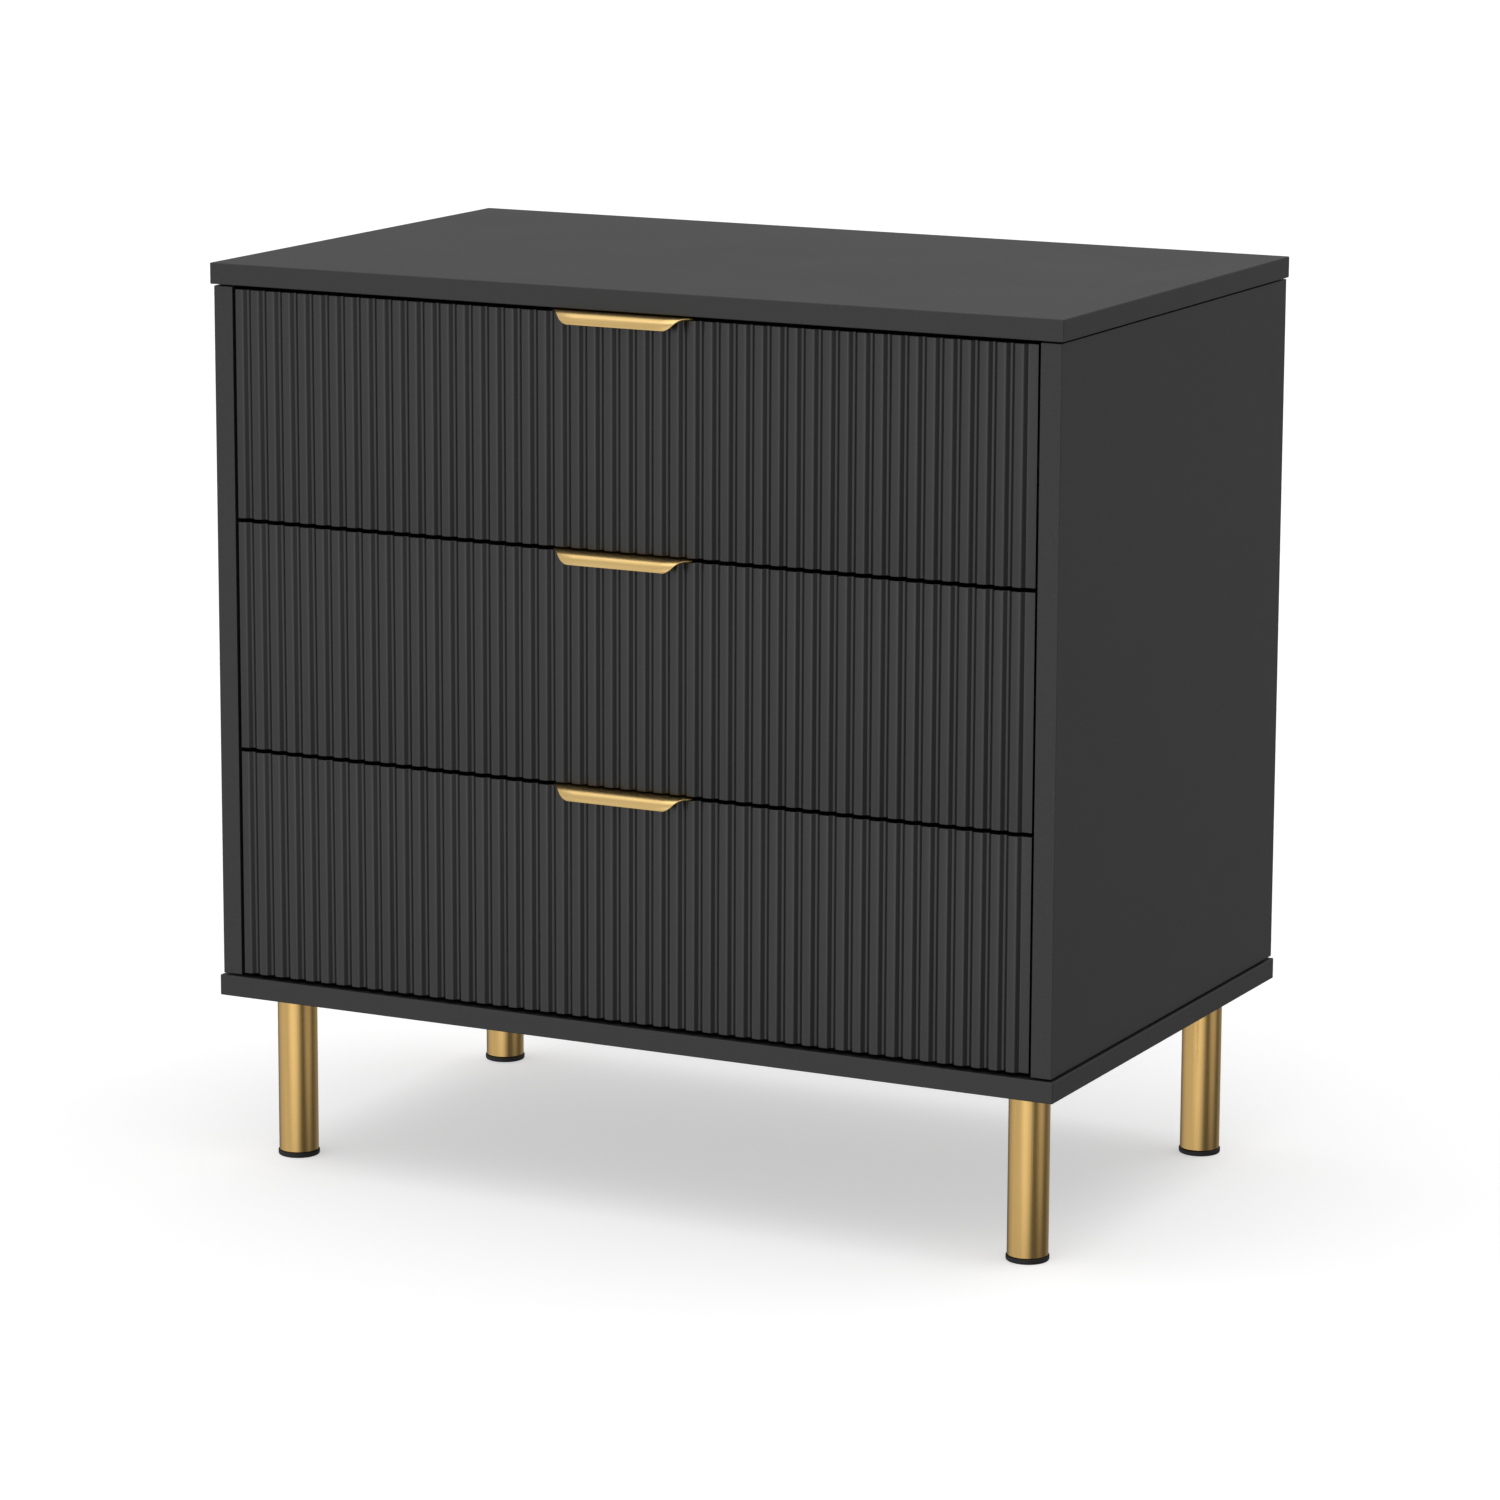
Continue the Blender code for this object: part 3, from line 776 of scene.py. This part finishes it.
def screw_heads(name, places, normal, radius, body):
    """Low screw heads in one mesh, at the places given on a face with this unit normal. In shares of
    the radius a head's rim stands 0.06 proud, its dome adds 0.22 times (1 - r^2), and the cross is
    pressed 0.26 into it. A skirt goes 0.15 into the face, so that no gap shows under the rim."""
    normal = np.asarray(normal, float)
    across = np.roll(normal, 1)
    upward = np.cross(normal, across)
    angle = np.linspace(0, 2 * math.pi, 32, endpoint=False)
    share = np.concatenate([[1.0, 1.0], np.linspace(0.97, 0.03, 12)])
    a = share[:, None] * np.cos(angle)
    b = share[:, None] * np.sin(angle)
    rise = 0.06 + 0.22 * (1 - share[:, None] ** 2) + 0 * a
    rise[0] = -0.15
    rise[2:] -= 0.26 * cross_recess(a, b, 0.6)[2:]
    local = radius * (a[..., None] * across + b[..., None] * upward + rise[..., None] * normal)
    head_points, head_faces = skin(local)
    places = np.asarray(places, float)
    points = (places[:, None, :] + head_points[None, :, :]).reshape(-1, 3)
    starts = len(head_points) * np.arange(len(places))
    faces = [[start + index for index in face] for start in starts.tolist() for face in head_faces]
    piece = put_mesh(name, points, faces, crease=45)
    finish_piece(piece, SCREW_LOOK, body)


RAIL_SCREW_SHARES = (0.09, 0.42, 0.80)  # along the rail from its front end
RAIL_SCREW_RADIUS = 0.0034
PLATE_SCREW_RADIUS = 0.0033
BACK_SCREW_RADIUS = 0.0031
RIM_INSET = 0.0053  # from a mounting plate's edge in to its screws
BACK_INSET = 0.011  # from the back sheet's edges in to its screws


def rail_screws(tag, side_name, side):
    """Three screws through the drawer rail's web into the drawer side."""
    low, high = corners_of(f"{tag}_drawer_rail_{side_name}")
    web_face = (low[0] if side > 0 else high[0]) + side * RAIL_SHEET
    middle = (low[2] + high[2]) / 2
    reach = high[1] - low[1]
    places = [(web_face, low[1] + share * reach, middle) for share in RAIL_SCREW_SHARES]
    screw_heads(
        f"{tag}_rail_screws_{side_name}", places, (side, 0, 0), RAIL_SCREW_RADIUS, f"{tag}_drawer"
    )


def plate_screws(corner):
    """Three screws up through the rim of a leg's mounting plate."""
    low, high = corners_of(f"leg_plate_{corner}")
    centre = (low + high) / 2
    ring = (high[0] - low[0]) / 2 - RIM_INSET
    angles = np.radians([30, 150, 270])
    places = [(centre[0] + ring * math.cos(a), centre[1] + ring * math.sin(a), low[2]) for a in angles]
    screw_heads(f"plate_screws_{corner}", places, (0, 0, -1), PLATE_SCREW_RADIUS, CABINET)


def back_screws():
    """Screws round the edge of the back sheet: four up each side, and two more along the top and base."""
    low, high = corners_of("back_panel")
    columns = np.linspace(low[0] + BACK_INSET, high[0] - BACK_INSET, 4)
    rows = np.linspace(low[2] + BACK_INSET, high[2] - BACK_INSET, 4)
    places = [(x, high[1], z) for x in columns[[0, -1]] for z in rows]
    places += [(x, high[1], z) for x in columns[1:-1] for z in rows[[0, -1]]]
    screw_heads("back_sheet_screws", places, (0, 1, 0), BACK_SCREW_RADIUS, CABINET)


back_screws()
for corner in CORNERS:
    plate_screws(corner)

for tag in TAGS:
    drawer_body = f"{tag}_drawer"
    reeded_front(tag)
    pull(tag)
    plain_board(
        f"{tag}_box_rear", f"{tag}_drawer_rear", BOX_LOOK, drawer_body, THIN_EASE
    )
    plain_board(
        f"{tag}_box_floor", f"{tag}_drawer_bottom", BACKING_LOOK, drawer_body, FLOOR_EASE
    )
    for side_name, side in SIDES:
        grooved_side(tag, side_name, side)
        rail(f"{tag}_outer_rail_{side_name}", f"{tag}_cabinet_rail_{side_name}", CABINET, -side)
        rail(
            f"{tag}_centre_rail_{side_name}", f"{tag}_middle_rail_{side_name}", f"{tag}_middle_rails", -side
        )
        rail(f"{tag}_inner_rail_{side_name}", f"{tag}_drawer_rail_{side_name}", drawer_body, side)
        screw(f"{tag}_flange_screw_{side_name}", f"{tag}_pull_screw_{side_name}", drawer_body)
        rail_screws(tag, side_name, side)


# ---------------------------------------------------------------- studio
FLOOR_REACH = 60.0
FLOOR_TONE = (0.70, 0.70, 0.70)
FLOOR_GLOW = 0.49  # emission, which keeps the shadows light
BACKDROP = 1.1  # brightness of the air past the floor's end, as the camera sees it
CAMERA_PLACE = (1.8122, -3.5977, 1.1296)
CAMERA_TURN = (26.720, 11.653, 0.230)  # bearing, tilt and roll in degrees
LENS = 138.19


def floor():
    """Pale floor, wide enough to fill the view. It glows a little, which keeps its shadows light, and it
    is left out of reflections."""
    points = FLOOR_REACH * np.array([(-1, -1, 0), (1, -1, 0), (1, 1, 0), (-1, 1, 0)])
    mesh = bpy.data.meshes.new("studio_floor")
    mesh.from_pydata(points.tolist(), [], [(0, 1, 2, 3)])
    piece = bpy.data.objects.new("studio_floor", mesh)
    bpy.context.scene.collection.objects.link(piece)
    look, tree, shader = shader_of("studio_floor", specular=0.0)
    shader.inputs["Base Color"].default_value = (*FLOOR_TONE, 1.0)
    shader.inputs["Roughness"].default_value = 1.0
    shader.inputs["Emission Color"].default_value = (1.0, 1.0, 1.0, 1.0)
    shader.inputs["Emission Strength"].default_value = FLOOR_GLOW
    mesh.materials.append(look)
    piece.visible_glossy = False


def facing(bearing, rise):
    """Direction at a bearing from the front, positive to the viewer's right, and a rise above level."""
    bearing, rise = math.radians(bearing), math.radians(rise)
    return (math.sin(bearing) * math.cos(rise), -math.cos(bearing) * math.cos(rise), math.sin(rise))


def sky(base, lobes):
    """Studio surround. Its brightness is the base plus, for each lobe, its gain times a smooth step of
    the dot product of the direction with the lobe's axis, from the lobe's edge up to 1. Past the end of
    the floor the view shows it as a plain pale backdrop."""
    world = bpy.data.worlds.new("studio_air")
    world.use_nodes = True
    tree = world.node_tree
    direction = node(tree, "ShaderNodeTexCoord").outputs["Generated"]
    total = None
    for axis, gain, edge in lobes:
        dot = node(tree, "ShaderNodeVectorMath", operation="DOT_PRODUCT")
        wire(tree, direction, dot.inputs[0])
        axis = np.array(axis, float)
        dot.inputs[1].default_value = tuple(axis / np.linalg.norm(axis))
        step = node(tree, "ShaderNodeMapRange", interpolation_type="SMOOTHSTEP")
        wire(tree, dot.outputs["Value"], step.inputs["Value"])
        step.inputs["From Min"].default_value = edge
        step.inputs["From Max"].default_value = 1.0
        step.inputs["To Min"].default_value = 0.0
        step.inputs["To Max"].default_value = gain
        total = maths(tree, "ADD", step.outputs["Result"], base if total is None else total)
    seen = node(tree, "ShaderNodeMix", data_type="FLOAT")
    wire(tree, node(tree, "ShaderNodeLightPath").outputs["Is Camera Ray"], seen.inputs["Factor"])
    wire(tree, total, seen.inputs[2])
    seen.inputs[3].default_value = BACKDROP
    wire(tree, seen.outputs[0], tree.nodes["Background"].inputs["Strength"])
    tree.nodes["Background"].inputs["Color"].default_value = (1.0, 1.0, 1.0, 1.0)
    bpy.context.scene.world = world


def camera():
    """Long lens, front right and a little above, turned by its bearing, tilt and roll."""
    view = bpy.data.cameras.new("view")
    view.lens = LENS
    view.sensor_width = 36.0
    view.clip_end = 200.0
    item = bpy.data.objects.new("view", view)
    bpy.context.scene.collection.objects.link(item)
    bearing, tilt, roll = (math.radians(value) for value in CAMERA_TURN)
    right = np.array([math.cos(bearing), math.sin(bearing), 0.0])
    back = np.array(
        [math.sin(bearing) * math.cos(tilt), -math.cos(bearing) * math.cos(tilt), math.sin(tilt)]
    )
    up = np.cross(back, right)
    right, up = (
        math.cos(roll) * right + math.sin(roll) * up,
        -math.sin(roll) * right + math.cos(roll) * up,
    )
    rows = [[right[i], up[i], back[i], CAMERA_PLACE[i]] for i in range(3)]
    item.matrix_world = Matrix(rows + [[0, 0, 0, 1]])
    bpy.context.scene.camera = item


floor()
camera()
AIR = 0.10  # even brightness of the surround
LOBES = [  # towards, gain, edge
    (facing(-42, 5), 0.65, -0.1),  # broad wall of light, front left
    (facing(14, 0), 0.65, 0.74),  # front, for the ribs' right-hand corners and the legs' bright bands
    (facing(92, 0), 0.50, 0.85),  # right-hand strip
    (facing(125, 42), 0.60, 0.80),  # high, right and a little behind
    (facing(180, 20), 0.305, 0.4),  # behind, for the top and the right side
    (facing(20, 84), 1.6, 0.7),  # overhead
]
sky(AIR, LOBES)
bpy.context.scene.view_settings.view_transform = "Standard"
